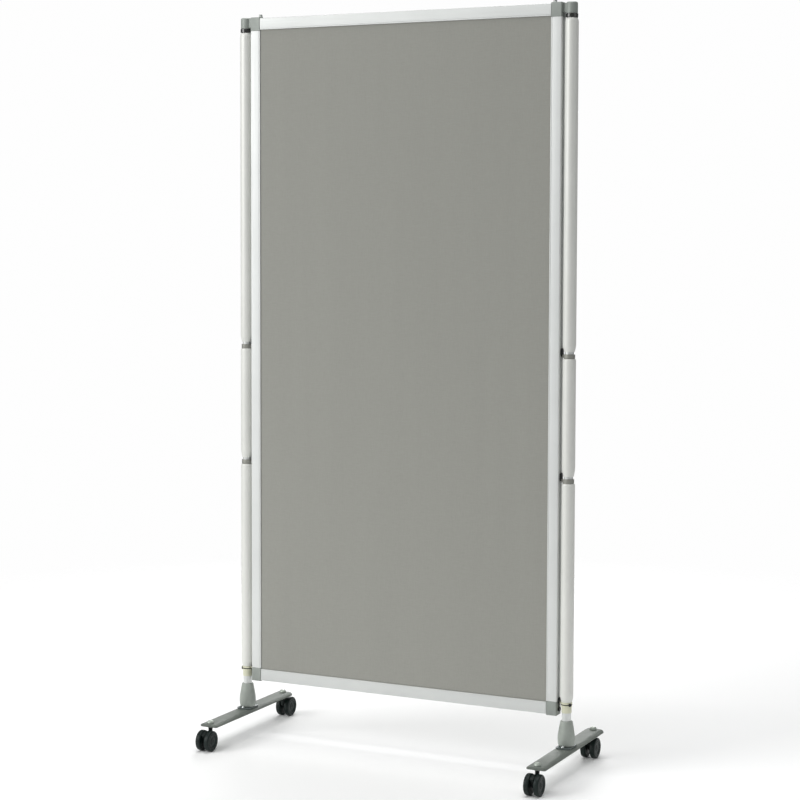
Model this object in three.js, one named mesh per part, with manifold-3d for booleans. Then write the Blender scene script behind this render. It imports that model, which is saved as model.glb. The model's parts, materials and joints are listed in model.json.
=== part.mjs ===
// Mobile partition wall: a fabric-faced panel hung between two swivelling posts,
// each post standing on a foot bar with two twin-wheel swivel casters.
// Units are millimetres, +Z is up, the front of the panel faces -Y, and the
// floor is Z = 0 under the middle of the panel.
import * as THREE from 'three';
import { mergeVertices } from 'three/addons/utils/BufferGeometryUtils.js';
import Module from 'manifold-3d';

const wasm = await Module();
wasm.setup();

// Panel frame
const TOP_Z = 1800;
const BOTTOM_Z = 139;
const PANEL_W = 825;
const FRAME_D = 28;
const STILE_W = 26.5;
const FRAME_WALL = 1.8;
const RAIL_H = 29;
const RAIL_INSET = 2;
const BLOCK_H = 33;
const BLOCK_D = 29.5;
const EDGE = 1.6;
const GAP = 0.3;

// Board and fabric
const CORE_D = 20.6;
const FABRIC_T = 1;
const FABRIC_FACE = 11.6;

// Studs on the top corner fittings
const STUD_X = 391;
const STUD_R = 4.2;
const STUD_BASE_R = 5.6;
const STUD_H = 8;

// Posts
const POST_X = 432.5;
const SHAFT_R = 10.8;
const SHAFT_WALL = 2;
const SHAFT_Z = [72.5, 1794.5];
const BORE_R = SHAFT_R + GAP;
const SLEEVE_R = 15.5;
const SLEEVE_END_R = 12.6;
const SLEEVES = {
  upper: { bottom: 995, taper: 15, top: 1764, rim: 9, rimR: 13.2 },
  middle: { bottom: 704, taper: 19, top: 978.7, rim: 3, rimR: 14.2 },
  lower: { bottom: 172, taper: 12, top: 687.5, rim: 3, rimR: 14.2 },
};

// Knuckles and lugs that hold the posts
const KNUCKLE_R = 13.4;
const KNUCKLE_H = 26;
const KNUCKLE_EDGE = 2;
const BRIDGE_W = 14;
const RING_R = 13.5;
const LUG_W = 14;
const LUG_PLATE_T = 3.6;
const LUG_STRAP_W = 5;
const LUG_STRAP_T = 1.4;
const LUGS = {
  upper: { ringZ: 979, ringH: 10.5, pads: [[979, 1002]] },
  lower: { ringZ: 687.8, ringH: 10.5, pads: [[687.8, 710.8]] },
  bottom: { ringZ: 165.5, ringH: 6.1, pads: [[148, 157], [165.5, 181]] },
};
const BUSH_R = 13;
const BUSH_Z = 146.8;
const BUSH_H = 18.4;

// Feet
const FOOT_LEN = 386;
const FOOT_W = 48;
const FOOT_H = 8;
const FOOT_Z = 56.5;
const FOOT_SLOPE_W = 7;
const FOOT_SLOPE_H = 4;
const FOOT_CUT = 5;
const PLATE_W = 36;
const PLATE_LEN = 56;
const PLATE_H = 3;
const BOLT_Y = 23.1;
const BOLT_R = 2.5;
const BOLT_HEAD_R = 4;
const BOLT_HEAD_H = 3.6;
const CONE_Z = 68.1;
const CONE_H = 59.4;
const CONE_TOP_R = 14;
const CONE_WIDE_R = 20.6;
const CONE_WIDE_Z = 18;
const CONE_BOTTOM_R = 17.6;

// Casters
const STEM_Y = 181;
const STEM_R = 4;
const STEM_COLLAR_R = 5.4;
const STEM_COLLAR_Z = [49.9, 53.6];
const STEM_Z = [30, 67];
const SOCKET_R = 7;
const SOCKET_DROP = 2.6;
const SOCKET_HEAD_R = 8.5;
const SOCKET_HEAD_H = 6.7;
const WHEEL_R = 25;
const WHEEL_T = 13;
const WHEEL_X = 12;
const WHEEL_EDGE = 3;
const TRAIL = 18;
const AXLE_R = 3;
const AXLE_LEN = 35;
const WEB_R = 23.6;
const WEB_ARC = [20, 140];
const WEB_STEPS = 10;
const WEB_T = 9.2;
const BOSS_R = 5.2;
const BOSS_Z = [31, 49.6];

// Numbers of sides of the round pieces
const SIDES = 24;
const SMALL_SIDES = 16;
const WHEEL_SIDES = 28;

const LOOKS = {
  core: { color: 0xb9a98a, metalness: 0, roughness: 0.9 },
  fabric: { color: 0x96968c, metalness: 0, roughness: 0.95 },
  frame: { color: 0xe4e6e2, metalness: 0.6, roughness: 0.4 },
  corner: { color: 0xa3a9a2, metalness: 0.3, roughness: 0.5 },
  stud: { color: 0xb4b8b2, metalness: 0.5, roughness: 0.4 },
  lug: { color: 0x2c3030, metalness: 0.2, roughness: 0.6 },
  bush: { color: 0xd6d4b4, metalness: 0, roughness: 0.5 },
  shaft: { color: 0xc6c9c8, metalness: 0.8, roughness: 0.35 },
  sleeve: { color: 0xd9dbd6, metalness: 0.6, roughness: 0.35 },
  cone: { color: 0x929b94, metalness: 0.2, roughness: 0.55 },
  plate: { color: 0x5c6664, metalness: 0.3, roughness: 0.5 },
  foot: { color: 0x8b9690, metalness: 0.4, roughness: 0.5 },
  bolt: { color: 0xc9cdca, metalness: 0.8, roughness: 0.3 },
  socket: { color: 0xb7bdb5, metalness: 0.4, roughness: 0.45 },
  stem: { color: 0x26282a, metalness: 0.5, roughness: 0.4 },
  casterBody: { color: 0x202628, metalness: 0, roughness: 0.5 },
  wheel: { color: 0x282f31, metalness: 0, roughness: 0.6 },
};

// ---------------------------------------------------------------- helpers

function piece(parent, name, look, geometry, position = [0, 0, 0]) {
  const mesh = new THREE.Mesh(geometry, new THREE.MeshStandardMaterial(LOOKS[look]));
  mesh.name = name;
  mesh.position.set(...position);
  parent.add(mesh);
  return mesh;
}

function subgroup(parent, position = [0, 0, 0], turn = 0) {
  const group = new THREE.Group();
  group.position.set(...position);
  group.rotation.z = turn;
  parent.add(group);
  return group;
}

function box(width, depth, height) {
  return new THREE.BoxGeometry(width, depth, height);
}

// An upright cylinder that stands on its own origin.
function drum(radius, height, sides = SIDES) {
  return new THREE.CylinderGeometry(radius, radius, height, sides)
    .rotateX(Math.PI / 2)
    .translate(0, 0, height / 2);
}

// A solid turned about Z. The points are [radius, height], outer side going up.
function turned(points, sides = SIDES) {
  const profile = points.map(([radius, height]) => new THREE.Vector2(radius, height));
  return new THREE.LatheGeometry(profile, sides).rotateX(Math.PI / 2);
}

// An upright ring that stands on its own origin.
function ring(inner, outer, height) {
  return turned([[inner, 0], [outer, 0], [outer, height], [inner, height], [inner, 0]]);
}

function outline(points) {
  return new THREE.Shape(points.map(([x, y]) => new THREE.Vector2(x, y)));
}

// The corners of a rectangle round the origin with each corner cut off.
function cutRectangle(width, depth, cut) {
  const x = width / 2;
  const y = depth / 2;
  return [
    [-x + cut, -y], [x - cut, -y], [x, -y + cut], [x, y - cut],
    [x - cut, y], [-x + cut, y], [-x, y - cut], [-x, -y + cut],
  ];
}

function prism(shape, length) {
  return new THREE.ExtrudeGeometry(shape, { depth: length, bevelEnabled: false });
}

// A hollow frame profile, standing on its own origin and open at both ends.
function hollowProfile(width, depth, length) {
  const shape = outline(cutRectangle(width, depth, EDGE));
  const inside = cutRectangle(width - 2 * FRAME_WALL, depth - 2 * FRAME_WALL, EDGE / 2);
  shape.holes.push(new THREE.Path(inside.map(([x, y]) => new THREE.Vector2(x, y))));
  return prism(shape, length);
}

function solidOf(geometry) {
  const plain = geometry.clone();
  plain.deleteAttribute('normal');
  plain.deleteAttribute('uv');
  const merged = mergeVertices(plain, 1e-4);
  const index = merged.index.array;
  const triangles = [];
  for (let i = 0; i < index.length; i += 3) {
    const [a, b, c] = [index[i], index[i + 1], index[i + 2]];
    if (a !== b && b !== c && c !== a) {
      triangles.push(a, b, c);
    }
  }
  return new wasm.Manifold(new wasm.Mesh({
    numProp: 3,
    vertProperties: new Float32Array(merged.attributes.position.array),
    triVerts: new Uint32Array(triangles),
  }));
}

// Joins the first list of geometries and cuts the second list out of them.
function carved(joined, cuts) {
  let solid = joined.map(solidOf).reduce((a, b) => a.add(b));
  for (const cut of cuts) {
    solid = solid.subtract(solidOf(cut));
  }
  const mesh = solid.getMesh();
  const geometry = new THREE.BufferGeometry();
  geometry.setAttribute('position', new THREE.BufferAttribute(mesh.vertProperties, 3));
  geometry.setIndex(new THREE.BufferAttribute(mesh.triVerts, 1));
  geometry.computeVertexNormals();
  return geometry;
}

// ---------------------------------------------------------------- panel

const halfW = PANEL_W / 2;
const innerX = halfW - STILE_W;
const railLen = 2 * (innerX - GAP);
const lowRailZ = BOTTOM_Z + RAIL_INSET + RAIL_H / 2;
const highRailZ = TOP_Z - RAIL_INSET - RAIL_H / 2;
const boardH = highRailZ - lowRailZ - RAIL_H - 2 * GAP;
const boardZ = (highRailZ + lowRailZ) / 2;

function cornerBlock() {
  return prism(outline(cutRectangle(STILE_W, BLOCK_D, EDGE)), BLOCK_H);
}

// A corner block with a bridge to a round knuckle, which has a blind bore over the
// top of the post. Its origin is on the post's axis at the foot of the block.
function topFitting() {
  const knuckleZ = BLOCK_H - KNUCKLE_H;
  const block = cornerBlock().translate(halfW - STILE_W / 2 - POST_X, 0, 0);
  const knuckle = turned([
    [0, 0],
    [KNUCKLE_R, 0],
    [KNUCKLE_R, KNUCKLE_H - KNUCKLE_EDGE],
    [KNUCKLE_R - KNUCKLE_EDGE, KNUCKLE_H],
    [0, KNUCKLE_H],
  ]).translate(0, 0, knuckleZ);
  const reach = POST_X - halfW + 2;
  const bridge = box(reach, BRIDGE_W, KNUCKLE_H - 4.5)
    .translate(-reach / 2, 0, knuckleZ + KNUCKLE_H / 2);
  const boreTop = SHAFT_Z[1] + GAP - (TOP_Z - BLOCK_H);
  const bore = drum(BORE_R, boreTop + 1).translate(0, 0, -1);
  return carved([block, bridge, knuckle], [bore]);
}

// A dark lug: a ring round the shaft in a neck of the post, with pads against the
// stile that a strap joins. Its origin is on the post's axis at its lowest pad.
function lug({ ringZ, ringH, pads }) {
  const foot = pads[0][0];
  const top = pads[pads.length - 1][1];
  const stileSide = halfW + GAP - POST_X;
  const solids = pads.map(([low, high]) => (
    box(LUG_PLATE_T, LUG_W, high - low)
      .translate(stileSide + LUG_PLATE_T / 2, 0, (low + high) / 2 - foot)
  ));
  const strap = box(LUG_STRAP_T, LUG_STRAP_W, top - foot);
  solids.push(strap.translate(stileSide + LUG_STRAP_T / 2, 0, (top - foot) / 2));
  const reach = POST_X - halfW - GAP - BORE_R - 1;
  const bridge = box(reach, LUG_W, ringH);
  solids.push(bridge.translate(-BORE_R - 1 - reach / 2, 0, ringZ - foot + ringH / 2));
  solids.push(drum(RING_R, ringH).translate(0, 0, ringZ - foot));
  const bore = drum(BORE_R, ringH + 2).translate(0, 0, ringZ - foot - 1);
  return carved(solids, [bore]);
}

function stud() {
  return turned([
    [0, 0],
    [STUD_BASE_R, 0],
    [STUD_BASE_R, 1.4],
    [STUD_R, 2.2],
    [STUD_R, STUD_H - 1.7],
    [STUD_R - 1.5, STUD_H - GAP],
    [0, STUD_H - GAP],
  ], SMALL_SIDES);
}

const wall = new THREE.Group();
wall.name = 'partition_wall';
const panel = subgroup(wall);

const fabricY = FABRIC_FACE - FABRIC_T / 2;
piece(panel, 'board_core', 'core', box(railLen, CORE_D, boardH), [0, 0, boardZ]);
piece(panel, 'front_fabric', 'fabric', box(railLen, FABRIC_T, boardH), [0, -fabricY, boardZ]);
piece(panel, 'back_fabric', 'fabric', box(railLen, FABRIC_T, boardH), [0, fabricY, boardZ]);
for (const [name, z] of [['top_rail', highRailZ], ['bottom_rail', lowRailZ]]) {
  const geometry = hollowProfile(RAIL_H, FRAME_D, railLen);
  piece(panel, name, 'frame', geometry, [-railLen / 2, 0, z]).rotation.y = Math.PI / 2;
}

const stileFoot = BOTTOM_Z + BLOCK_H + GAP;
const stileLen = TOP_Z - BLOCK_H - GAP - stileFoot;
const stileX = halfW - STILE_W / 2;

// One end of the panel is drawn on the right and turned half a turn for the left.
for (const [side, turn] of [['left', Math.PI], ['right', 0]]) {
  const end = subgroup(panel, [0, 0, 0], turn);
  const stile = hollowProfile(STILE_W, FRAME_D, stileLen);
  piece(end, `${side}_stile`, 'frame', stile, [stileX, 0, stileFoot]);
  const fittingAt = [POST_X, 0, TOP_Z - BLOCK_H];
  piece(end, `${side}_top_corner_fitting`, 'corner', topFitting(), fittingAt);
  const blockAt = [stileX, 0, BOTTOM_Z];
  piece(end, `${side}_bottom_corner_block`, 'corner', cornerBlock(), blockAt);
  piece(end, `${side}_top_stud`, 'stud', stud(), [STUD_X, 0, TOP_Z + GAP]);
  for (const [level, sizes] of Object.entries(LUGS)) {
    const lugAt = [POST_X, 0, sizes.pads[0][0]];
    piece(end, `${side}_${level}_hinge_lug`, 'lug', lug(sizes), lugAt);
  }
  const bush = ring(BORE_R, BUSH_R, BUSH_H);
  piece(end, `${side}_nylon_bush`, 'bush', bush, [POST_X, 0, BUSH_Z]);
}

// ---------------------------------------------------------------- posts and feet

// A post sleeve: a tube that draws in to a neck at its foot and has a rounded rim.
function sleeve({ bottom, taper, top, rim, rimR }) {
  const height = top - bottom;
  return turned([
    [BORE_R, 0],
    [SLEEVE_END_R, 0],
    [SLEEVE_R - 0.6, taper * 0.72],
    [SLEEVE_R, taper],
    [SLEEVE_R, height - rim],
    [rimR, height],
    [BORE_R, height],
    [BORE_R, 0],
  ]);
}

// The skittle-shaped socket that the shaft stands in, with a blind bore from its top.
function coneSocket() {
  const body = turned([
    [0, 0],
    [CONE_BOTTOM_R, 0],
    [CONE_WIDE_R - 0.4, CONE_WIDE_Z - 7],
    [CONE_WIDE_R, CONE_WIDE_Z],
    [CONE_WIDE_R - 0.6, CONE_WIDE_Z + 8],
    [CONE_TOP_R + 0.8, CONE_H - 2],
    [CONE_TOP_R, CONE_H],
    [0, CONE_H],
  ]);
  const boreFoot = SHAFT_Z[0] - GAP - CONE_Z;
  return carved([body], [drum(BORE_R, CONE_H).translate(0, 0, boreFoot)]);
}

// A flat bar with sloped long edges, cut corners, and holes for bolts and sockets.
function footBar() {
  const x = FOOT_W / 2;
  const section = outline([
    [-x, 0],
    [x, 0],
    [x, FOOT_H - FOOT_SLOPE_H],
    [x - FOOT_SLOPE_W, FOOT_H],
    [-x + FOOT_SLOPE_W, FOOT_H],
    [-x, FOOT_H - FOOT_SLOPE_H],
  ]);
  const body = prism(section, FOOT_LEN).rotateX(Math.PI / 2).translate(0, FOOT_LEN / 2, 0);
  const cuts = [];
  for (const end of [-1, 1]) {
    const socketHole = drum(SOCKET_R + GAP, FOOT_H + 2);
    const boltHole = drum(BOLT_R + GAP, FOOT_H + 2, SMALL_SIDES);
    cuts.push(socketHole.translate(0, end * STEM_Y, -1));
    cuts.push(boltHole.translate(0, end * BOLT_Y, -1));
    for (const edge of [-1, 1]) {
      const side = FOOT_CUT * Math.SQRT2;
      const corner = box(side, side, FOOT_H + 2).rotateZ(Math.PI / 4);
      cuts.push(corner.translate((edge * FOOT_W) / 2, (end * FOOT_LEN) / 2, FOOT_H / 2));
    }
  }
  return carved([body], cuts);
}

function saddlePlate() {
  const shape = outline(cutRectangle(PLATE_W, PLATE_LEN, 6));
  for (const end of [-1, 1]) {
    const hole = new THREE.Path();
    hole.absarc(0, end * BOLT_Y, BOLT_R + GAP, 0, 2 * Math.PI, true);
    shape.holes.push(hole);
  }
  const options = { depth: PLATE_H, bevelEnabled: false, curveSegments: 8 };
  return new THREE.ExtrudeGeometry(shape, options);
}

// Its origin is at the underside of its head.
function bolt() {
  const shank = PLATE_H + FOOT_H + GAP - 0.5;
  return turned([
    [0, -shank],
    [BOLT_R, -shank],
    [BOLT_R, 0],
    [BOLT_HEAD_R, 0],
    [BOLT_HEAD_R, BOLT_HEAD_H * 0.55],
    [BOLT_HEAD_R - 1.6, BOLT_HEAD_H],
    [0, BOLT_HEAD_H],
  ], SMALL_SIDES);
}

// A headed socket through the foot bar that shows a little below it, with a blind bore
// from below for the stem.
function casterSocket() {
  const seat = SOCKET_DROP + FOOT_H + GAP;
  const top = seat + SOCKET_HEAD_H;
  const body = turned([
    [0, 0],
    [SOCKET_R, 0],
    [SOCKET_R, seat],
    [SOCKET_HEAD_R, seat],
    [SOCKET_HEAD_R, seat + 2],
    [SOCKET_HEAD_R - 2, top - 1],
    [SOCKET_HEAD_R - 4, top],
    [0, top],
  ]);
  const depth = STEM_Z[1] + GAP - FOOT_Z + SOCKET_DROP;
  return carved([body], [drum(STEM_R + GAP, depth + 1, SMALL_SIDES).translate(0, 0, -1)]);
}

// ---------------------------------------------------------------- casters
// Drawn with the stem on the Z axis and the wheels trailing towards -Y.

function stem() {
  return turned([
    [0, STEM_Z[0]],
    [STEM_R, STEM_Z[0]],
    [STEM_R, STEM_COLLAR_Z[0]],
    [STEM_COLLAR_R, STEM_COLLAR_Z[0]],
    [STEM_COLLAR_R, STEM_COLLAR_Z[1]],
    [STEM_R, STEM_COLLAR_Z[1]],
    [STEM_R, STEM_Z[1]],
    [0, STEM_Z[1]],
  ], SMALL_SIDES);
}

function arc(radius) {
  const points = [];
  for (let i = 0; i <= WEB_STEPS; i += 1) {
    const degrees = WEB_ARC[0] + ((WEB_ARC[1] - WEB_ARC[0]) * i) / WEB_STEPS;
    const angle = THREE.MathUtils.degToRad(degrees);
    points.push([radius * Math.cos(angle), radius * Math.sin(angle)]);
  }
  return points;
}

// A side-view outline round the axle, first value +Y and second +Z, made into a slab.
function acrossAxle(points, width) {
  return prism(outline(points), width)
    .rotateX(Math.PI / 2)
    .rotateZ(Math.PI / 2)
    .translate(-width / 2, -TRAIL, WHEEL_R);
}

// The web between the wheels, the boss round the stem and the axle, in one moulding.
function casterBody() {
  const web = acrossAxle([[-6, -6], [6, -6], ...arc(WEB_R)], WEB_T);
  const boss = drum(BOSS_R, BOSS_Z[1] - BOSS_Z[0]).translate(0, 0, BOSS_Z[0]);
  const axle = drum(AXLE_R, AXLE_LEN, SMALL_SIDES)
    .rotateY(Math.PI / 2)
    .translate(-AXLE_LEN / 2, -TRAIL, WHEEL_R);
  const stemHole = drum(STEM_R + GAP, BOSS_Z[1] - STEM_Z[0] + 2, SMALL_SIDES)
    .translate(0, 0, STEM_Z[0] - 1);
  return carved([web, boss, axle], [stemHole]);
}

// A wheel turned about Z, with its dished outer face upwards.
function wheel() {
  const bore = AXLE_R + GAP;
  return turned([
    [bore, 0],
    [WHEEL_R - WHEEL_EDGE, 0],
    [WHEEL_R - 0.8, 1],
    [WHEEL_R, WHEEL_EDGE],
    [WHEEL_R, WHEEL_T - WHEEL_EDGE],
    [WHEEL_R - 0.8, WHEEL_T - 1],
    [WHEEL_R - WHEEL_EDGE, WHEEL_T],
    [WHEEL_R * 0.62, WHEEL_T],
    [WHEEL_R * 0.54, WHEEL_T - 1.6],
    [bore, WHEEL_T - 1.6],
    [bore, 0],
  ], WHEEL_SIDES);
}

for (const [side, sign] of [['left', -1], ['right', 1]]) {
  const post = subgroup(wall, [sign * POST_X, 0, 0]);
  const shaft = ring(SHAFT_R - SHAFT_WALL, SHAFT_R, SHAFT_Z[1] - SHAFT_Z[0]);
  piece(post, `${side}_post_shaft`, 'shaft', shaft, [0, 0, SHAFT_Z[0]]);
  for (const [level, sizes] of Object.entries(SLEEVES)) {
    piece(post, `${side}_${level}_sleeve`, 'sleeve', sleeve(sizes), [0, 0, sizes.bottom]);
  }
  const plateZ = FOOT_Z + FOOT_H + GAP;
  const boltZ = plateZ + PLATE_H + GAP;
  piece(post, `${side}_cone_socket`, 'cone', coneSocket(), [0, 0, CONE_Z]);
  piece(post, `${side}_saddle_plate`, 'plate', saddlePlate(), [0, 0, plateZ]);
  piece(post, `${side}_foot_bar`, 'foot', footBar(), [0, 0, FOOT_Z]);
  piece(post, `${side}_front_bolt`, 'bolt', bolt(), [0, -BOLT_Y, boltZ]);
  piece(post, `${side}_rear_bolt`, 'bolt', bolt(), [0, BOLT_Y, boltZ]);

  for (const [end, y] of [['front', -STEM_Y], ['rear', STEM_Y]]) {
    const name = `${side}_${end}`;
    const socketAt = [0, y, FOOT_Z - SOCKET_DROP];
    piece(post, `${name}_caster_socket`, 'socket', casterSocket(), socketAt);
    // The casters rest at different turns: only the left rear one trails backwards.
    const backwards = name === 'left_rear';
    const caster = subgroup(post, [0, y, 0], backwards ? Math.PI : 0);
    piece(caster, `${name}_caster_stem`, 'stem', stem());
    piece(caster, `${name}_caster_body`, 'casterBody', casterBody());
    for (const [place, outward] of [['outer', sign], ['inner', -sign]]) {
      const local = backwards ? -outward : outward;
      const wheelAt = [local * (WHEEL_X - WHEEL_T / 2), -TRAIL, WHEEL_R];
      const mesh = piece(caster, `${name}_${place}_wheel`, 'wheel', wheel(), wheelAt);
      mesh.rotation.y = (local * Math.PI) / 2;
    }
  }
}

export default wall;
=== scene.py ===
import json
import math

import bmesh
import bpy
from mathutils import Matrix, Vector

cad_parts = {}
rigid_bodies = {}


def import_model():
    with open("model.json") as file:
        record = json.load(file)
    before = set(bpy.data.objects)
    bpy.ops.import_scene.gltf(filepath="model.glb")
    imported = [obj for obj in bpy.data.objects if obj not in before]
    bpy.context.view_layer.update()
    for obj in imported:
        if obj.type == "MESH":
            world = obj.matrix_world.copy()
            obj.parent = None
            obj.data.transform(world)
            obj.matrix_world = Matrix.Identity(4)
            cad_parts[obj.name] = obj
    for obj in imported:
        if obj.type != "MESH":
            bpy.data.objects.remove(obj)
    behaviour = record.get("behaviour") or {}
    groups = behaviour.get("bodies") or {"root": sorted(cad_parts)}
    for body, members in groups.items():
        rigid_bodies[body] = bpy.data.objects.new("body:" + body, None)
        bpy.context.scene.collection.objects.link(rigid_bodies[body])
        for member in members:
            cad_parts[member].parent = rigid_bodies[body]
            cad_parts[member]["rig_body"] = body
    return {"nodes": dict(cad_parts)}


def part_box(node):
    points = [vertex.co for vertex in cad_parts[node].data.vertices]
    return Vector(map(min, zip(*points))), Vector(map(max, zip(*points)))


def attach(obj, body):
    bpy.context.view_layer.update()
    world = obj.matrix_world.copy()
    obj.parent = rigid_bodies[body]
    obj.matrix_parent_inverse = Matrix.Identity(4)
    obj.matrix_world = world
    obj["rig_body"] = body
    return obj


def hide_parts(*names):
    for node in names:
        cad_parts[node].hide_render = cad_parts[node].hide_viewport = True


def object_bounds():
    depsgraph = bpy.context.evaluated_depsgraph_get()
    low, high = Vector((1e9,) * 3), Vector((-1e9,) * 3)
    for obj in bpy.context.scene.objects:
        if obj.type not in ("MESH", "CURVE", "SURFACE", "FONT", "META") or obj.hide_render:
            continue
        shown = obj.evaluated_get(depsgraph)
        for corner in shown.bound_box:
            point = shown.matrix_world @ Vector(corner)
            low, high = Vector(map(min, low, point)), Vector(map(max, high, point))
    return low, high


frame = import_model()
cad_bounds = [list(corner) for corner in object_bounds()]

MM = 0.001

# Dimensions shared by pieces that meet.
TURN_GAP = 0.2 * MM
STEM_R = 4 * MM
STEM_BORE_R = 4.3 * MM
STEM_BORE_DEPTH = 13.4 * MM
STEM_COLLAR_R = 5.4 * MM
STEM_COLLAR_LEVELS = (19.9 * MM, 23.6 * MM)
SOCKET_R = 7 * MM
SOCKET_HOLE_R = 7.3 * MM
SOCKET_HEAD_H = 6.7 * MM
BOLT_R = 2.5 * MM
BOLT_HOLE_R = 2.8 * MM
FOOT_CUT = 5 * MM
CASTER_TRAIL = 18 * MM
AXLE_Z = 25 * MM
AXLE_R = 3 * MM
AXLE_BORE_R = 3.15 * MM
WEB_R = 23 * MM
WEB_RIM_R = 23.6 * MM
WEB_RIM_INNER_R = 21.4 * MM
WEB_W = 8 * MM
WEB_RIM_W = 9.2 * MM
BOSS_R = 5.2 * MM
BOSS_FOOT_Z = 31 * MM
NECK_COLLAR_R = 14.3 * MM
NECK_COLLAR_H = 9.4 * MM

BODY_OF = {node: obj["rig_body"] for node, obj in frame["nodes"].items()}


# ------------------------------------------------------------------ materials

def shader(name, color, metallic=0.0, roughness=0.5):
    """A Principled material with its uniform values set on the shader's own sockets."""
    mat = bpy.data.materials.new(name)
    mat.use_nodes = True
    bsdf = mat.node_tree.nodes["Principled BSDF"]
    bsdf.inputs["Base Color"].default_value = (*color, 1)
    bsdf.inputs["Metallic"].default_value = metallic
    bsdf.inputs["Roughness"].default_value = roughness
    return mat, bsdf


def add_node(mat, kind, **settings):
    """A new shader node, with each setting put on its property or its input socket."""
    node = mat.node_tree.nodes.new(kind)
    for key, value in settings.items():
        if hasattr(node, key):
            setattr(node, key, value)
        else:
            node.inputs[key.replace("_", " ")].default_value = value
    return node


def place(mat, scale=(1, 1, 1)):
    """Object coordinates in metres, stretched by scale."""
    coords = add_node(mat, "ShaderNodeTexCoord")
    mapping = add_node(mat, "ShaderNodeMapping")
    mapping.inputs["Scale"].default_value = scale
    mat.node_tree.links.new(coords.outputs["Object"], mapping.inputs["Vector"])
    return mapping.outputs["Vector"]


def noise(mat, vector, scale, detail=4.0, roughness=0.55):
    """A noise texture, about 0.3 to 0.7."""
    node = add_node(mat, "ShaderNodeTexNoise", Scale=scale, Detail=detail, Roughness=roughness)
    mat.node_tree.links.new(vector, node.inputs["Vector"])
    return node.outputs["Fac"]


def spread(mat, value, low, high):
    """Maps a 0..1 texture onto low..high."""
    node = add_node(mat, "ShaderNodeMapRange")
    node.inputs["From Min"].default_value = 0.3
    node.inputs["From Max"].default_value = 0.7
    node.inputs["To Min"].default_value = low
    node.inputs["To Max"].default_value = high
    mat.node_tree.links.new(value, node.inputs["Value"])
    return node.outputs["Result"]


def tint(mat, bsdf, value, dark, light):
    """Varies the base colour between two colours by a texture."""
    ramp = add_node(mat, "ShaderNodeValToRGB")
    ramp.color_ramp.elements[0].position = 0.3
    ramp.color_ramp.elements[0].color = (*dark, 1)
    ramp.color_ramp.elements[1].position = 0.7
    ramp.color_ramp.elements[1].color = (*light, 1)
    mat.node_tree.links.new(value, ramp.inputs["Fac"])
    mat.node_tree.links.new(ramp.outputs["Color"], bsdf.inputs["Base Color"])


def bump(mat, bsdf, value, strength, distance):
    """Raises the surface by a texture."""
    node = add_node(mat, "ShaderNodeBump", Strength=strength, Distance=distance)
    mat.node_tree.links.new(value, node.inputs["Height"])
    mat.node_tree.links.new(node.outputs["Normal"], bsdf.inputs["Normal"])


def shade(color, factor):
    """A colour made darker or lighter."""
    return tuple(min(1.0, c * factor) for c in color)


def satin_metal(name, color, along, metallic=0.75, roughness=0.4):
    """Satin anodised metal with fine draw lines along one axis."""
    mat, bsdf = shader(name, color, metallic, roughness)
    stretch = tuple(6.0 if axis == along else 900.0 for axis in "XYZ")
    lines = noise(mat, place(mat, stretch), 1.0, detail=3.0)
    cloud = noise(mat, place(mat), 9.0, detail=5.0)
    tint(mat, bsdf, cloud, shade(color, 0.965), shade(color, 1.02))
    rough = spread(mat, lines, roughness - 0.07, roughness + 0.08)
    mat.node_tree.links.new(rough, bsdf.inputs["Roughness"])
    bump(mat, bsdf, lines, 0.18, 0.0001)
    return mat


def cast_paint(name, color, roughness=0.5, metallic=0.15, speckle=0.1):
    """Paint over a casting: fine orange peel, small speckle and soft clouding."""
    mat, bsdf = shader(name, color, metallic, roughness)
    cloud = noise(mat, place(mat), 38.0, detail=6.0)
    tint(mat, bsdf, cloud, shade(color, 1 - speckle), shade(color, 1 + speckle))
    peel = noise(mat, place(mat), 700.0, detail=3.0)
    rough = spread(mat, peel, roughness - 0.06, roughness + 0.08)
    mat.node_tree.links.new(rough, bsdf.inputs["Roughness"])
    bump(mat, bsdf, peel, 0.22, 0.0002)
    return mat


def moulded(name, color, roughness=0.45, grain=900.0, coat=0.0, wear=0.25, gloss=0.5):
    """Moulded plastic with a fine grain and slight scuffing."""
    mat, bsdf = shader(name, color, 0.0, roughness)
    bsdf.inputs["Specular IOR Level"].default_value = gloss
    bsdf.inputs["Coat Weight"].default_value = coat
    cloud = noise(mat, place(mat), 60.0, detail=6.0)
    tint(mat, bsdf, cloud, shade(color, 1 - wear), shade(color, 1 + wear))
    fine = noise(mat, place(mat), grain, detail=2.0)
    rough = spread(mat, fine, roughness - 0.08, roughness + 0.1)
    mat.node_tree.links.new(rough, bsdf.inputs["Roughness"])
    bump(mat, bsdf, fine, 0.25, 0.00015)
    return mat


SLUB_SHARE = 0.12


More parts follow.
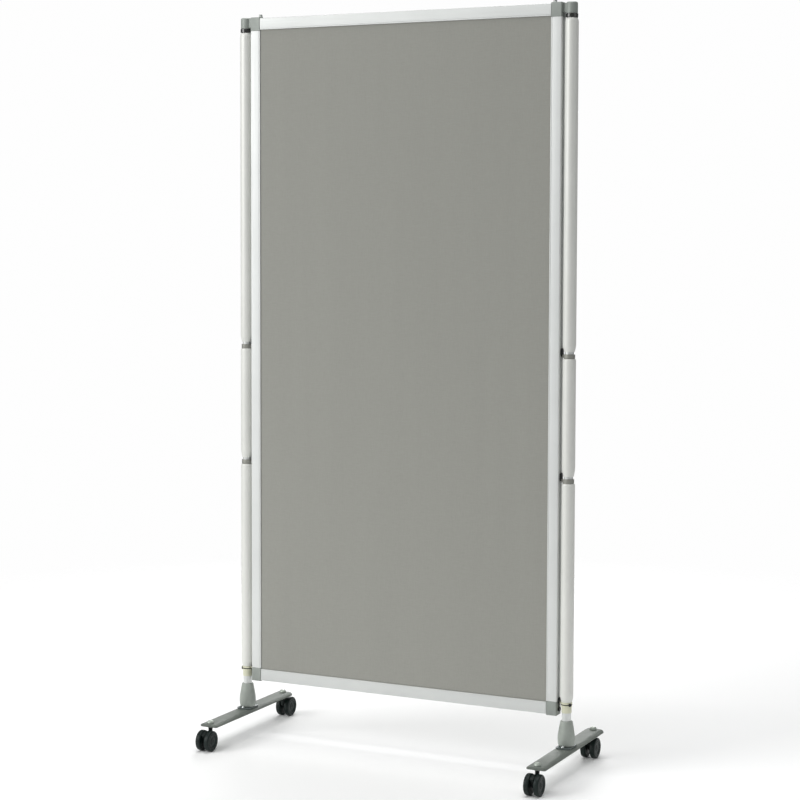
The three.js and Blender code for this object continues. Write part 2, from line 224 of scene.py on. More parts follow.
def woven(name, color):
    """A close plain weave in a warm grey melange, with faint slubs up and across."""
    mat, bsdf = shader(name, color, 0.0, 0.92)
    bsdf.inputs["Sheen Weight"].default_value = 0.15
    bsdf.inputs["Sheen Roughness"].default_value = 0.5
    bsdf.inputs["Specular IOR Level"].default_value = 0.15
    along, between = 60, 1400
    across = noise(mat, place(mat, (along, along, between)), 1.0, detail=2.0)
    upward = noise(mat, place(mat, (between, along, along)), 1.0, detail=2.0)
    weave = add_node(mat, "ShaderNodeMath", operation="ADD")
    mat.node_tree.links.new(across, weave.inputs[0])
    mat.node_tree.links.new(upward, weave.inputs[1])
    threads = add_node(mat, "ShaderNodeMath", operation="MULTIPLY")
    threads.inputs[1].default_value = 0.5
    mat.node_tree.links.new(weave.outputs[0], threads.inputs[0])
    streaks = noise(mat, place(mat, (26, 26, 1.2)), 1.0, detail=2.0)
    mixed = add_node(mat, "ShaderNodeMath", operation="MULTIPLY_ADD")
    mixed.inputs[1].default_value = SLUB_SHARE
    mat.node_tree.links.new(streaks, mixed.inputs[0])
    scaled = add_node(mat, "ShaderNodeMath", operation="MULTIPLY")
    scaled.inputs[1].default_value = 1 - SLUB_SHARE
    mat.node_tree.links.new(threads.outputs[0], scaled.inputs[0])
    mat.node_tree.links.new(scaled.outputs[0], mixed.inputs[2])
    tint(mat, bsdf, mixed.outputs[0], shade(color, 0.93), shade(color, 1.07))
    bump(mat, bsdf, threads.outputs[0], 0.45, 0.0004)
    return mat


FRAME_WHITE = (0.70, 0.715, 0.70)
SLEEVE_WHITE = (0.76, 0.765, 0.725)
LOOK = {
    "frame_up": satin_metal("satin frame upright", FRAME_WHITE, "Z", 0.3, 0.5),
    # The rails use the frame's satin finish, painted darker as shade.
    "frame_across_shaded": satin_metal("satin frame across with painted shade", (0.64, 0.655, 0.64), "X", 0.3, 0.5),
    "sleeve": satin_metal("satin sleeve", SLEEVE_WHITE, "Z", 0.12, 0.45),
    "shaft": satin_metal("drawn steel shaft", (0.72, 0.735, 0.72), "Z", 0.6, 0.45),
    "corner": cast_paint("grey corner casting", (0.295, 0.32, 0.295), roughness=0.5),
    "stud": satin_metal("satin stud", (0.36, 0.38, 0.36), "Z", 0.6),
    "lug": moulded("black lug", (0.014, 0.016, 0.016), roughness=0.45, gloss=0.3),
    "ring": cast_paint("dull grey ring", (0.29, 0.29, 0.26), roughness=0.4, metallic=0.3),
    # The top neck collar's black is painted shadow of the neck under the cap, with a gloss that
    # catches the key light.
    "collar": moulded("glossy black collar painted as neck shadow", (0.02, 0.021, 0.019), roughness=0.25, coat=0.6),
    "bush": moulded("cream nylon", (0.68, 0.68, 0.52), roughness=0.45, wear=0.07),
    "cone": cast_paint("grey cone casting", (0.345, 0.375, 0.34), roughness=0.55, speckle=0.12),
    # The saddle plate is dark partly as its own paint and partly as painted contact shadow under the
    # cone.
    "plate": cast_paint("saddle plate with painted contact shadow", (0.10, 0.12, 0.115), roughness=0.45),
    "foot": cast_paint("grey foot bar", (0.150, 0.168, 0.148), roughness=0.6, metallic=0.1),
    "bolt": satin_metal("bright bolt", (0.55, 0.58, 0.57), "X", 0.95, 0.3),
    "socket": satin_metal("satin socket", (0.42, 0.46, 0.41), "X", 0.45, 0.45),
    "stem": moulded("black stem", (0.010, 0.011, 0.011), roughness=0.4, gloss=0.3),
    "caster": moulded("black caster body", (0.006, 0.010, 0.009), roughness=0.42, gloss=0.22),
    "wheel": moulded("black caster wheel", (0.007, 0.0135, 0.012), roughness=0.4, gloss=0.22),
}
CLOTH_GREY = (0.318, 0.318, 0.288)
LOOK["cloth"] = woven("warm grey weave", CLOTH_GREY)


# ------------------------------------------------------------------ mesh tools

def finish_piece(name, bm, look, body, nodes=(), angle=40.0, at=None):
    """Turns a bmesh into a smooth-shaded piece that rides on a body."""
    bmesh.ops.remove_doubles(bm, verts=bm.verts, dist=1e-6)
    bmesh.ops.recalc_face_normals(bm, faces=bm.faces)
    mesh = bpy.data.meshes.new(name)
    if at is not None:
        bm.transform(at)
    bm.to_mesh(mesh)
    bm.free()
    for polygon in mesh.polygons:
        polygon.use_smooth = True
    mesh.set_sharp_from_angle(angle=math.radians(angle))
    mesh.materials.append(LOOK[look])
    piece = bpy.data.objects.new(name, mesh)
    bpy.context.scene.collection.objects.link(piece)
    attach(piece, body)
    if nodes:
        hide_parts(*nodes)
    return piece


def revolve(bm, profile, segments=72, matrix=None):
    """Turns [radius, height] points in metres about Z into bm."""
    rings = []
    made = []
    for radius, height in profile:
        if radius < 1e-7:
            ring = [bm.verts.new((0, 0, height))]
        else:
            ring = [
                bm.verts.new((
                    radius * math.cos(2 * math.pi * i / segments),
                    radius * math.sin(2 * math.pi * i / segments),
                    height,
                ))
                for i in range(segments)
            ]
        rings.append(ring)
        made.extend(ring)
    for low, high in zip(rings, rings[1:]):
        for i in range(segments):
            j = (i + 1) % segments
            corners = [low[i % len(low)], low[j % len(low)], high[j % len(high)], high[i % len(high)]]
            unique = list(dict.fromkeys(corners))
            if len(unique) > 2:
                bm.faces.new(unique)
    if matrix is not None:
        bmesh.ops.transform(bm, matrix=matrix, verts=made)
    return made


def rounded(profile, radius, steps=4):
    """Rounds the inner corners of an open [radius, height] profile."""
    points = [Vector(p) for p in profile]
    out = [points[0]]
    for before, here, after in zip(points, points[1:], points[2:]):
        a = before - here
        b = after - here
        reach = min(radius, a.length * 0.48, b.length * 0.48)
        if reach < 1e-6 or a.angle(b) > 3.05:
            out.append(here)
            continue
        start = here + a.normalized() * reach
        end = here + b.normalized() * reach
        for k in range(steps + 1):
            t = k / steps
            out.append(start * (1 - t) ** 2 + here * 2 * t * (1 - t) + end * t ** 2)
    out.append(points[-1])
    return [(p.x, p.y) for p in out]


def rounded_loop(points, radius, steps=4):
    """Rounds every corner of a closed outline; a third value overrides its radius."""
    out = []
    count = len(points)
    for i, point in enumerate(points):
        here = Vector(point[:2])
        a = Vector(points[i - 1][:2]) - here
        b = Vector(points[(i + 1) % count][:2]) - here
        wanted = point[2] if len(point) > 2 else radius
        reach = min(wanted, a.length * 0.48, b.length * 0.48)
        if reach < 1e-6:
            out.append(here)
            continue
        start = here + a.normalized() * reach
        end = here + b.normalized() * reach
        for k in range(steps + 1):
            t = k / steps
            out.append(start * (1 - t) ** 2 + here * 2 * t * (1 - t) + end * t ** 2)
    return [(p.x, p.y) for p in out]


def extrude(bm, outline, length, matrix, end_bevel=0.0):
    """A prism along local Z from a closed outline, its ends drawn in by end_bevel."""
    levels = [(0.0, end_bevel), (end_bevel, 0.0), (length - end_bevel, 0.0), (length, end_bevel)]
    if end_bevel <= 0:
        levels = [(0.0, 0.0), (length, 0.0)]
    xs = [p[0] for p in outline]
    ys = [p[1] for p in outline]
    cx = (min(xs) + max(xs)) / 2
    cy = (min(ys) + max(ys)) / 2
    wx = max(xs) - min(xs)
    wy = max(ys) - min(ys)
    rings = []
    made = []
    for z, inset in levels:
        ring = []
        for x, y in outline:
            px = cx + (x - cx) * (1 - 2 * inset / wx)
            py = cy + (y - cy) * (1 - 2 * inset / wy)
            ring.append(bm.verts.new((px, py, z)))
        rings.append(ring)
        made.extend(ring)
    count = len(outline)
    for low, high in zip(rings, rings[1:]):
        for i in range(count):
            j = (i + 1) % count
            bm.faces.new((low[i], low[j], high[j], high[i]))
    bm.faces.new(list(reversed(rings[0])))
    bm.faces.new(rings[-1])
    bmesh.ops.transform(bm, matrix=matrix, verts=made)
    return made


def upright(node):
    """The middle of a node's plan, with the height of its foot, and its height."""
    low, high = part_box(node)
    return Vector(((low.x + high.x) / 2, (low.y + high.y) / 2, low.z)), high.z - low.z


def radius_of(node):
    """Half a node's depth."""
    low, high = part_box(node)
    return (high.y - low.y) / 2


def turned_piece(name, node, profile, look, segments=72, angle=40.0):
    """A turned piece that stands for a CAD node, on the node's own axis."""
    foot, _ = upright(node)
    bm = bmesh.new()
    revolve(bm, profile, segments)
    at = Matrix.Translation(foot)
    return finish_piece(name, bm, look, BODY_OF[node], [node], angle, at)


def softened(name, node, look, width=0.8 * MM, segments=3):
    """A copy of a CAD node with its hard edges rounded over."""
    source = frame["nodes"][node]
    mesh = source.data.copy()
    mesh.materials.clear()
    bm = bmesh.new()
    bm.from_mesh(mesh)
    bpy.data.meshes.remove(mesh)
    bmesh.ops.remove_doubles(bm, verts=bm.verts, dist=1e-6)
    bmesh.ops.dissolve_limit(
        bm, angle_limit=math.radians(2), verts=bm.verts, edges=bm.edges,
    )
    hard = [e for e in bm.edges if len(e.link_faces) == 2 and e.calc_face_angle(0) > math.radians(24)]
    bmesh.ops.bevel(
        bm, geom=hard, offset=width, segments=segments, profile=0.6,
        affect="EDGES", clamp_overlap=True,
    )
    return finish_piece(name, bm, look, BODY_OF[node], [node], 32.0)


# ------------------------------------------------------------------ the panel

def frame_bar(node, look, along):
    """A frame profile: rounded corners, a shadow groove beside the cloth and a slot outside."""
    low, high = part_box(node)
    size = high - low
    if along == "Z":
        width, length = size.x, size.z
    else:
        width, length = size.z, size.x
    depth = size.y
    w, d = width / 2, depth / 2
    slot_w, slot_d = 4.0 * MM, 3.2 * MM
    groove, groove_d, groove_in = 1.0 * MM, 0.7 * MM, 2.6 * MM
    corner = 2.4 * MM
    fine = 0.25 * MM
    # Seen along the bar: first value away from the cloth, second towards the front (-Y).
    half = [
        (-w + groove_in, d, fine), (-w + groove_in, d - groove_d, fine),
        (-w + groove_in + groove, d - groove_d, fine), (-w + groove_in + groove, d, fine),
        (w, d, corner),
        (w, slot_w, 0.5 * MM), (w - slot_d, slot_w, fine),
    ]
    mirrored = [(x, -y, r) for x, y, r in reversed(half)]
    outline = [(-w, d, 1.2 * MM)] + half + mirrored + [(-w, -d, 1.2 * MM)]
    outline = rounded_loop(outline, corner)
    bm = bmesh.new()
    centre = (low + high) / 2
    if along == "Z":
        outward = 1 if centre.x > 0 else -1
        axes = Matrix(((outward, 0, 0), (0, -1, 0), (0, 0, 1))).to_4x4()
        start = Vector((centre.x, centre.y, low.z))
    else:
        outward = 1 if centre.z > (cad_bounds[0][2] + cad_bounds[1][2]) / 2 else -1
        axes = Matrix(((0, 0, 1), (0, -1, 0), (outward, 0, 0))).to_4x4()
        start = Vector((low.x, centre.y, centre.z))
    extrude(bm, outline, length, Matrix.Translation(start) @ axes)
    return finish_piece(node + "_profile", bm, look, "panel", [node], 30.0)


def cloth_face(node, facing):
    """The cloth on one face of the board: taut, rounded over the board's edges."""
    low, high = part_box(node)
    face_y = low.y if facing < 0 else high.y
    fold_r = 1.0 * MM
    thickness = 0.45 * MM
    cols, rows = 96, 192
    bm = bmesh.new()

    def edge_drop(distance):
        if distance >= 3 * fold_r:
            return 0.0
        t = 1 - distance / (3 * fold_r)
        return (fold_r - thickness) * t ** 3

    def stations(a, b, count):
        edge = [0.0, 0.3 * MM, 0.7 * MM, 1.2 * MM, 1.8 * MM, 2.4 * MM, 3.2 * MM]
        inner = [edge[-1] + (b - a - 2 * edge[-1]) * i / count for i in range(count + 1)]
        offsets = edge[:-1] + inner + [b - a - e for e in reversed(edge[:-1])]
        return [a + o for o in offsets]

    xs = stations(low.x + 0.2 * MM, high.x - 0.2 * MM, cols)
    zs = stations(low.z + 0.2 * MM, high.z - 0.2 * MM, rows)
    grid = []
    for z in zs:
        line = []
        for x in xs:
            side = min(x - xs[0], xs[-1] - x, z - zs[0], zs[-1] - z)
            slack = 0.05 * MM * (math.sin(x * 11.0 + 0.7) + math.sin(z * 7.3 + x * 4.1))
            drop = edge_drop(side) + 0.1 * MM + (slack if side > 20 * MM else 0.0)
            line.append(bm.verts.new((x, face_y - facing * drop, z)))
        grid.append(line)
    for i in range(len(zs) - 1):
        for j in range(len(xs) - 1):
            bm.faces.new((grid[i][j], grid[i][j + 1], grid[i + 1][j + 1], grid[i + 1][j]))
    piece = finish_piece(node + "_cloth", bm, "cloth", "panel", [node], 60.0)
    return piece


# In millimetres above each lug's foot: the ring's foot and its height, and the pads' levels.
LUG_RING = {"upper": (0, 10.5), "lower": (0, 10.5), "bottom": (17.5, 6.1)}
LUG_PADS = {"upper": [(3.5, 24)], "lower": [(3.5, 24)], "bottom": [(0, 9), (17.5, 33)]}
KNOB_ANGLE = math.radians(35)
KNOB_R = 4 * MM
KNOB_T = 2.1 * MM


def hinge_lug(side, level):
    """A black lug: oval pads against the stile, an arm, and a ring round the post."""
    node = f"{side}_{level}_hinge_lug"
    low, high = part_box(node)
    axis, _ = upright(f"{side}_post_shaft")
    outward = 1 if axis.x > 0 else -1
    stile_x = low.x if outward > 0 else high.x
    bore = radius_of(f"{side}_post_shaft") + TURN_GAP
    ring_r = abs((high.x if outward > 0 else low.x) - axis.x)
    ring_z, ring_h = (v * MM for v in LUG_RING[level])
    # Local Z of a slab runs outward from the stile, local X to the front.
    axes = Matrix(((0, 0, outward), (-1, 0, 0), (0, 1, 0))).to_4x4()
    bm = bmesh.new()

    def slab(width, foot, top, start, thick, corner, bevel):
        """A plate that stands off the stile by start and is thick deep."""
        w = width / 2
        outline = rounded_loop([(-w, foot), (w, foot), (w, top), (-w, top)], corner, 6)
        at = Vector((stile_x + outward * start, axis.y, low.z))
        extrude(bm, outline, thick, Matrix.Translation(at) @ axes, bevel)

    for foot, top in LUG_PADS[level]:
        foot, top = foot * MM, top * MM
        slab(14 * MM, foot, top, 0, 3.6 * MM, min(6.6 * MM, (top - foot) * 0.46), 0.9 * MM)
    if level == "bottom":
        slab(4.6 * MM, 4 * MM, 30 * MM, 0, 1.2 * MM, 0.4 * MM, 0)
    finish_piece(node + "_pad", bm, "lug", "panel", [node], 35.0)

    bm = bmesh.new()
    reach = abs(axis.x - stile_x) - bore - 1 * MM
    slab(8 * MM, ring_z + 1.8 * MM, ring_z + ring_h - 0.6 * MM, 2 * MM, reach - 2 * MM, 1 * MM, 0)
    foot = 1.7 * MM if level == "bottom" else 0
    profile = rounded([
        (bore, foot), (ring_r - 0.1 * MM, foot), (ring_r - 0.1 * MM, ring_h), (bore, ring_h),
    ], 1.3 * MM, 5)
    ring_at = Matrix.Translation((axis.x, axis.y, low.z + ring_z))
    revolve(bm, profile + [profile[0]], 72, ring_at)
    look = "bush" if level == "bottom" else "ring"
    finish_piece(node + "_ring", bm, look, "panel", [node], 40.0)
    if level == "bottom":
        bm = bmesh.new()
        profile = rounded([
            (bore, 0), (ring_r, 0), (ring_r, 1.5 * MM), (bore, 1.5 * MM),
        ], 0.4 * MM)
        revolve(bm, profile + [profile[0]], 72, ring_at)
        # A small round knob stands on the ring, towards the front and outwards.
        reach = ring_r - 0.4 * MM
        knob = rounded([
            (0, 0), (KNOB_R, 0), (KNOB_R, KNOB_T), (0, KNOB_T),
        ], 1 * MM, 5)
        turn = -KNOB_ANGLE if outward > 0 else KNOB_ANGLE - math.pi
        knob_at = ring_at @ Matrix.Translation((0, 0, 1.2 * MM)) @ Matrix.Rotation(turn, 4, "Z")
        knob_at = knob_at @ Matrix.Translation((reach, 0, 0)) @ Matrix.Rotation(math.pi / 2, 4, "Y")
        revolve(bm, knob, 40, knob_at)
        finish_piece(node + "_clip", bm, "lug", "panel", [node], 40.0)


def knuckle_fitting(side):
    """The top corner casting: a block and a bridge, with the turned knuckle over the post."""
    node = f"{side}_top_corner_fitting"
    return softened(node + "_cast", node, "corner", 0.9 * MM)


for node, along, look in (
    ("top_rail", "X", "frame_across_shaded"),
    ("bottom_rail", "X", "frame_across_shaded"),
    ("left_stile", "Z", "frame_up"),
    ("right_stile", "Z", "frame_up"),
):
    frame_bar(node, look, along)

cloth_face("front_fabric", -1)
cloth_face("back_fabric", 1)

core = frame["nodes"]["board_core"]
core_look, core_bsdf = shader("pressed board", (0.40, 0.31, 0.20), 0.0, 0.85)
core_flecks = noise(core_look, place(core_look, (160, 160, 160)), 1.0, detail=6.0)
tint(core_look, core_bsdf, core_flecks, (0.30, 0.22, 0.13), (0.48, 0.38, 0.25))
bump(core_look, core_bsdf, core_flecks, 0.4, 0.0004)
core.data.materials.clear()
core.data.materials.append(core_look)

for side in ("left", "right"):
    knuckle_fitting(side)
    block = f"{side}_bottom_corner_block"
    softened(block + "_cast", block, "corner", 1.6 * MM, 4)
    for level in ("upper", "lower", "bottom"):
        hinge_lug(side, level)

    stud = f"{side}_top_stud"
    stud_h = upright(stud)[1]
    base_r = radius_of(stud)
    stem_r = base_r * 0.75
    profile = rounded([
        (0, 0), (base_r, 0), (base_r, 1.4 * MM), (stem_r, 2.3 * MM),
        (stem_r, stud_h - 0.6 * MM), (stem_r - 1.4 * MM, stud_h), (0, stud_h),
    ], 0.8 * MM)
    turned_piece(stud + "_turned", stud, profile, "stud", 40)

    bush = f"{side}_nylon_bush"
    bush_h = upright(bush)[1]
    bush_r = radius_of(bush)
    bore = radius_of(f"{side}_post_shaft") + TURN_GAP
    profile = rounded([
        (bore, 0), (bush_r - 1.2 * MM, 0), (bush_r - 1.2 * MM, bush_h - 5 * MM),
        (bush_r, bush_h - 5 * MM), (bush_r, bush_h), (bore, bush_h),
    ], 0.6 * MM)
    turned_piece(bush + "_turned", bush, profile + [profile[0]], "bush", 56)


# ------------------------------------------------------------------ the posts

SLEEVE_TAPER = {"upper": 15 * MM, "middle": 19 * MM, "lower": 12 * MM}

for side in ("left", "right"):
    shaft = f"{side}_post_shaft"
    shaft_r = radius_of(shaft)
    shaft_h = upright(shaft)[1]
    bore = shaft_r + TURN_GAP
    profile = rounded([
        (0, 0), (shaft_r, 0), (shaft_r, shaft_h), (0, shaft_h),
    ], 0.8 * MM)
    turned_piece(shaft + "_drawn", shaft, profile, "shaft", 72)

    for level in ("upper", "middle", "lower"):
        node = f"{side}_{level}_sleeve"
        tube_r = radius_of(node)
        tube_h = upright(node)[1]
        taper = SLEEVE_TAPER[level]
        rim = (9 if level == "upper" else 3) * MM
        rim_r = tube_r - (2.3 if level == "upper" else 1.3) * MM
        profile = [
            (bore, 0), (12.6 * MM, 0), (13.0 * MM, taper * 0.18),
            (14.2 * MM, taper * 0.5), (15.1 * MM, taper * 0.8), (tube_r, taper * 1.15),
            (tube_r, tube_h - rim - 1 * MM), (tube_r - 0.35 * MM, tube_h - rim * 0.55),
            (rim_r, tube_h - 0.3 * MM), (bore, tube_h),
        ]
        profile = rounded(profile, 2.2 * MM, 5)
        turned_piece(node + "_tube", node, profile + [profile[0]], "sleeve", 96)

    # A black collar fills the top neck; its black is painted shadow of the neck under the cap.
    neck_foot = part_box(f"{side}_upper_sleeve")[1].z + 0.3 * MM
    neck_at = upright(shaft)[0]
    neck_at.z = neck_foot
    bm = bmesh.new()
    profile = rounded([
        (bore, 0), (NECK_COLLAR_R, 0), (NECK_COLLAR_R, NECK_COLLAR_H), (bore, NECK_COLLAR_H),
    ], 1.2 * MM, 5)
    revolve(bm, profile + [profile[0]], 72)
    neck = f"{side}_neck_shadow_collar"
    finish_piece(neck, bm, "collar", BODY_OF[shaft], (), 40.0, Matrix.Translation(neck_at))

    cone = f"{side}_cone_socket"
    cone_r = radius_of(cone)
    cone_h = upright(cone)[1]
    profile = [
        (0, 0), (17.6 * MM, 0), (19.2 * MM, 3 * MM), (cone_r - 0.35 * MM, 10 * MM),
        (cone_r, 18 * MM), (cone_r - 0.6 * MM, 26 * MM), (17.6 * MM, 41 * MM),
        (14.9 * MM, 56 * MM), (14.0 * MM, cone_h), (bore, cone_h),
    ]
    bore_foot = upright(shaft)[0].z - upright(cone)[0].z - 0.3 * MM
    profile = rounded(profile, 3 * MM, 5) + [(bore, bore_foot), (0, bore_foot)]
    turned_piece(cone + "_cast", cone, profile, "cone", 96, 50.0)

    # The plate's dark colour is partly its paint and partly painted contact shadow of the cone on the
    # bar.
    plate = f"{side}_saddle_plate"
    softened(plate + "_pressed", plate, "plate", 0.8 * MM)


# ------------------------------------------------------------------ the feet

def drill(piece, holes, foot_z, top_z, angle, segments=48):
    """Cuts upright holes, each a centre and a radius, into a piece."""
    bm = bmesh.new()
    for centre, radius in holes:
        profile = [(0, foot_z), (radius, foot_z), (radius, top_z), (0, top_z)]
        revolve(bm, profile, segments, Matrix.Translation((centre.x, centre.y, 0)))
    bmesh.ops.recalc_face_normals(bm, faces=bm.faces)
    cutter_mesh = bpy.data.meshes.new("cutter")
    bm.to_mesh(cutter_mesh)
    bm.free()
    cutter = bpy.data.objects.new("cutter", cutter_mesh)
    bpy.context.scene.collection.objects.link(cutter)
    cut = piece.modifiers.new("holes", "BOOLEAN")
    cut.operation = "DIFFERENCE"
    cut.solver = "EXACT"
    cut.use_self = True
    cut.object = cutter
    bpy.context.view_layer.update()
    evaluated = piece.evaluated_get(bpy.context.evaluated_depsgraph_get())
    drilled = bpy.data.meshes.new_from_object(evaluated)
    piece.modifiers.clear()
    piece.data = drilled
    bpy.data.objects.remove(cutter)
    bpy.data.meshes.remove(cutter_mesh)
    for polygon in drilled.polygons:
        polygon.use_smooth = True
    drilled.set_sharp_from_angle(angle=math.radians(angle))
    return piece


def foot_piece(side):
    """The foot bar: a flat top with sloped edges, softened all round, and its holes."""
    node = f"{side}_foot_bar"
    low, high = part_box(node)
    w = (high.x - low.x) / 2
    h = high.z - low.z
    half = [(w, 0, 1.2 * MM), (w, h - 4.2 * MM, 1.6 * MM), (w - 7.5 * MM, h, 4 * MM)]
    outline = half + [(-x, y, r) for x, y, r in reversed(half)]
    outline = rounded_loop(outline, 1 * MM, 4)
    bm = bmesh.new()
    length = high.y - low.y
    axes = Matrix(((1, 0, 0), (0, 0, -1), (0, 1, 0))).to_4x4()
    start = Vector(((low.x + high.x) / 2, high.y, low.z))
    extrude(bm, outline, length, Matrix.Translation(start) @ axes, 1.4 * MM)
    piece = finish_piece(node + "_bar", bm, "foot", BODY_OF[node], [node], 30.0)
    holes = []
    for end in ("front", "rear"):
        holes.append((upright(f"{side}_{end}_caster_socket")[0], SOCKET_HOLE_R))
        holes.append((upright(f"{side}_{end}_bolt")[0], BOLT_HOLE_R))
    drill(piece, holes, low.z - 5 * MM, high.z + 5 * MM, 30.0)
    corners = [
        (Vector((x, y, 0)), FOOT_CUT) for x in (low.x, high.x) for y in (low.y, high.y)
    ]
    return drill(piece, corners, low.z - 5 * MM, high.z + 5 * MM, 30.0, 4)


def hex_bolt(node):
    """A button-head bolt with a round socket recess."""
    low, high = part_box(node)
    head_r = (high.x - low.x) / 2
    seat = upright(f"{node.split('_')[0]}_saddle_plate")
    seat_z = seat[0].z + seat[1] + 0.3 * MM - low.z
    total = high.z - low.z
    profile = rounded([
        (0, 0), (BOLT_R, 0), (BOLT_R, seat_z), (head_r, seat_z),
        (head_r, seat_z + 0.9 * MM), (head_r - 1.3 * MM, total - 0.3 * MM),
        (1.9 * MM, total), (1.8 * MM, total - 1.8 * MM), (0, total - 1.8 * MM),
    ], 0.8 * MM)
    return turned_piece(node + "_screw", node, profile, "bolt", 48, 35.0)


def stem_socket(node):
    """A headed socket through the foot bar, with a blind bore for the caster's stem."""
    low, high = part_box(node)
    head_r = (high.x - low.x) / 2
    total = high.z - low.z
    seat_z = total - SOCKET_HEAD_H
    profile = rounded([
        (STEM_BORE_R, 0.6 * MM), (SOCKET_R, 0), (SOCKET_R, seat_z), (head_r, seat_z),
        (head_r, seat_z + 1.8 * MM),
        (head_r - 1.8 * MM, total - 1.2 * MM), (head_r - 4.4 * MM, total), (0, total),
    ], 1.2 * MM)
    bore = [(0, STEM_BORE_DEPTH), (STEM_BORE_R, STEM_BORE_DEPTH)]
    return turned_piece(node + "_turned", node, bore + profile, "socket", 48, 40.0)


# ------------------------------------------------------------------ the casters

def caster_stem(node):
    """The stem the caster swivels on, with a collar just below the socket."""
    low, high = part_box(node)
    total = high.z - low.z
    collar_foot, collar_top = STEM_COLLAR_LEVELS
    profile = rounded([
        (0, 0), (STEM_R, 0), (STEM_R, collar_foot), (STEM_COLLAR_R, collar_foot),
        (STEM_COLLAR_R, collar_top), (STEM_R, collar_top), (STEM_R, total), (0, total),
    ], 0.7 * MM)
    return turned_piece(node + "_turned", node, profile, "stem", 40)


def arc(radius, start, stop, steps):
    """Points along a circle round the axle, from one angle to another in degrees."""
    points = []
    for i in range(steps + 1):
        angle = math.radians(start + (stop - start) * i / steps)
        points.append((radius * math.cos(angle), radius * math.sin(angle)))
    return points


def caster_body(node, trail):
    """The body between the wheels: a web with a raised rim, the stem's boss and the axle."""
    low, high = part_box(node)
    middle_x = (low.x + high.x) / 2
    stem_low, stem_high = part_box(node.replace("body", "stem"))
    stem_y = (stem_low.y + stem_high.y) / 2
    axle_y = stem_y + trail * CASTER_TRAIL
    half = (high.x - low.x) / 2
    bm = bmesh.new()

    def across(points, wide, bevel):
        # Local X of the outline points from the axle towards the stem.
        axes = Matrix(((0, 0, 1), (-trail, 0, 0), (0, 1, 0))).to_4x4()
        start = Vector((middle_x - wide / 2, axle_y, AXLE_Z))
        extrude(bm, points, wide, Matrix.Translation(start) @ axes, bevel)

    web = [(-6 * MM, -6 * MM), (6 * MM, -6 * MM)] + arc(WEB_R, 20, 140, 28)
    across(web, WEB_W, 0.6 * MM)
    rim = arc(WEB_RIM_R, 24, 138, 28) + arc(WEB_RIM_INNER_R, 138, 24, 28)
    across(rim, WEB_RIM_W, 0.5 * MM)
    profile = rounded([
        (0, BOSS_FOOT_Z), (BOSS_R, BOSS_FOOT_Z), (BOSS_R, high.z), (0, high.z),
    ], 0.5 * MM)
    revolve(bm, profile, 48, Matrix.Translation((middle_x, stem_y, 0)))
    spin = Matrix.Translation((middle_x, axle_y, AXLE_Z)) @ Matrix.Rotation(math.pi / 2, 4, "Y")
    pin = rounded([(0, -half), (AXLE_R, -half), (AXLE_R, half), (0, half)], 0.8 * MM)
    revolve(bm, pin, 32, spin)
    piece = finish_piece(node + "_moulding", bm, "caster", BODY_OF[node], [node], 35.0)
    stem_at = Vector((middle_x, stem_y, 0))
    return drill(piece, [(stem_at, STEM_BORE_R)], stem_low.z - 1 * MM, high.z + 2 * MM, 35.0)


def caster_wheel(node, outward):
    """A wheel with a rounded tread, a dished outer face, a ring groove and a hub."""
    low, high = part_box(node)
    radius = (high.z - low.z) / 2
    thick = high.x - low.x
    centre = (low + high) / 2
    bore = AXLE_BORE_R
    tread = rounded([
        (bore, 0), (15 * MM, 0), (15 * MM, 0.6 * MM), (17 * MM, 0.6 * MM), (17 * MM, 0),
        (radius - 2.6 * MM, 0), (radius - 0.25 * MM, 1.6 * MM), (radius, thick / 2),
        (radius - 0.25 * MM, thick - 1.6 * MM), (radius - 2.6 * MM, thick),
        (18.6 * MM, thick), (18.2 * MM, thick - 0.8 * MM), (17.2 * MM, thick - 0.8 * MM),
        (16.6 * MM, thick - 0.1 * MM), (15.2 * MM, thick - 0.1 * MM), (13 * MM, thick - 1.6 * MM),
        (8 * MM, thick - 1.9 * MM), (7.2 * MM, thick - 1.0 * MM),
        (4.4 * MM, thick - 0.9 * MM), (bore, thick - 1.5 * MM),
    ], 1.0 * MM, 3)
    bm = bmesh.new()
    turn = Matrix.Rotation(outward * math.pi / 2, 4, "Y")
    place_at = Matrix.Translation((centre.x - outward * thick / 2, centre.y, centre.z)) @ turn
    revolve(bm, tread + [tread[0]], 72, place_at)
    return finish_piece(node + "_moulding", bm, "wheel", BODY_OF[node], [node], 30.0)


for side, sign in (("left", -1), ("right", 1)):
    foot_piece(side)
    for end in ("front", "rear"):
        hex_bolt(f"{side}_{end}_bolt")
        stem_socket(f"{side}_{end}_caster_socket")
        caster_stem(f"{side}_{end}_caster_stem")
        body_node = f"{side}_{end}_caster_body"
        wheel_low, wheel_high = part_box(f"{side}_{end}_outer_wheel")
        stem_low, stem_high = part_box(f"{side}_{end}_caster_stem")
        trail = -1 if wheel_low.y + wheel_high.y < stem_low.y + stem_high.y else 1
        caster_body(body_node, trail)
        caster_wheel(f"{side}_{end}_outer_wheel", sign)
        caster_wheel(f"{side}_{end}_inner_wheel", -sign)


# ------------------------------------------------------------------ the studio

FLOOR_R = 3.0


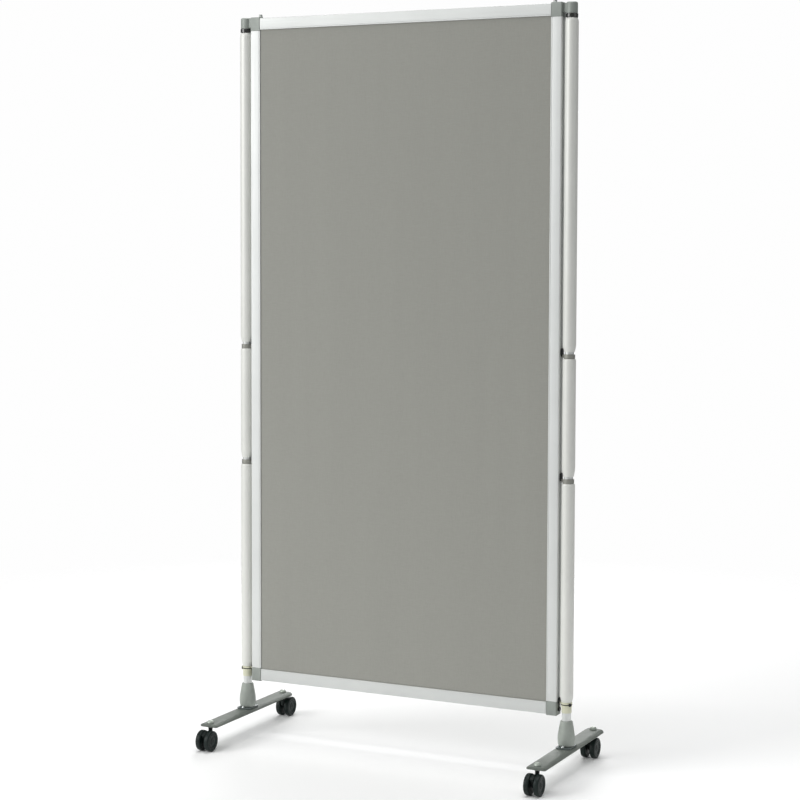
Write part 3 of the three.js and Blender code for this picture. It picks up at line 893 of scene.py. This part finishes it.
def studio_floor():
    """A round pale floor that fades out towards its rim."""
    mesh = bpy.data.meshes.new("studio_floor")
    bm = bmesh.new()
    bmesh.ops.create_circle(bm, cap_ends=True, segments=96, radius=FLOOR_R)
    bm.to_mesh(mesh)
    bm.free()
    mat, bsdf = shader("pale floor", (0.965, 0.965, 0.96), 0.0, 0.8)
    bsdf.inputs["Specular IOR Level"].default_value = 0.1
    cloud = noise(mat, place(mat), 1.4, detail=3.0)
    tint(mat, bsdf, cloud, (0.96, 0.96, 0.955), (0.97, 0.97, 0.965))
    ball = add_node(mat, "ShaderNodeTexGradient", gradient_type="SPHERICAL")
    unit = (1 / FLOOR_R, 1 / FLOOR_R, 1 / FLOOR_R)
    mat.node_tree.links.new(place(mat, unit), ball.inputs["Vector"])
    fade = add_node(mat, "ShaderNodeMapRange")
    fade.inputs["From Min"].default_value = 0.0
    fade.inputs["From Max"].default_value = 0.45
    fade.interpolation_type = "SMOOTHSTEP"
    mat.node_tree.links.new(ball.outputs["Fac"], fade.inputs["Value"])
    mat.node_tree.links.new(fade.outputs["Result"], bsdf.inputs["Alpha"])
    mesh.materials.append(mat)
    floor = bpy.data.objects.new("studio_floor", mesh)
    floor.location.z = cad_bounds[0][2] - 0.0002
    bpy.context.scene.collection.objects.link(floor)


def area_light(name, position, target, size, power):
    """A white rectangular lamp that points at a target."""
    light = bpy.data.lights.new(name, "AREA")
    light.shape = "RECTANGLE"
    light.size, light.size_y = size
    light.energy = power
    lamp = bpy.data.objects.new(name, light)
    lamp.location = position
    direction = Vector(target) - Vector(position)
    lamp.rotation_euler = direction.to_track_quat("-Z", "Y").to_euler()
    bpy.context.scene.collection.objects.link(lamp)


def studio_world():
    """White to the camera, and a dim even grey as light."""
    world = bpy.data.worlds.new("studio")
    bpy.context.scene.world = world
    world.use_nodes = True
    tree = world.node_tree
    background = tree.nodes["Background"]
    path = tree.nodes.new("ShaderNodeLightPath")
    mix = tree.nodes.new("ShaderNodeMix")
    mix.data_type = "RGBA"
    mix.inputs["A"].default_value = (0.26, 0.265, 0.27, 1)
    mix.inputs["B"].default_value = (0.99, 0.99, 0.99, 1)
    tree.links.new(path.outputs["Is Camera Ray"], mix.inputs["Factor"])
    tree.links.new(mix.outputs["Result"], background.inputs["Color"])


def set_camera():
    """A long lens to the right of the panel's face, tilted a little down and shifted a little."""
    data = bpy.data.cameras.new("camera")
    data.sensor_width = 36.0
    data.lens = 88.72
    data.shift_y = -0.06
    camera = bpy.data.objects.new("camera", data)
    azimuth = math.radians(25.958)
    pitch = math.radians(-3.571)
    roll = math.radians(0.155)
    camera.location = (2.078, -4.2785, 1.2786)
    aimed = Matrix.Rotation(azimuth, 4, "Z") @ Matrix.Rotation(math.pi / 2 + pitch, 4, "X")
    camera.rotation_euler = (aimed @ Matrix.Rotation(roll, 4, "Z")).to_euler()
    bpy.context.scene.collection.objects.link(camera)
    bpy.context.scene.camera = camera


studio_floor()
studio_world()
# Name, position, what it points at, size, power.
for light in (
    ("key", (-3.2, -3.6, 2.5), (0, 0, 0.95), (3.0, 3.4), 158),
    ("top", (0.0, 0.0, 6.0), (0, 0, 0), (4.0, 4.0), 205),
    ("right_fill", (4.2, -0.8, 1.7), (0.43, 0, 1.0), (1.6, 2.6), 12),
    ("back_fill", (-2.2, 5.6, 3.0), (0, 0, 0.9), (3.0, 3.0), 165),
):
    area_light(*light)
set_camera()
bpy.context.scene.view_settings.view_transform = "Standard"
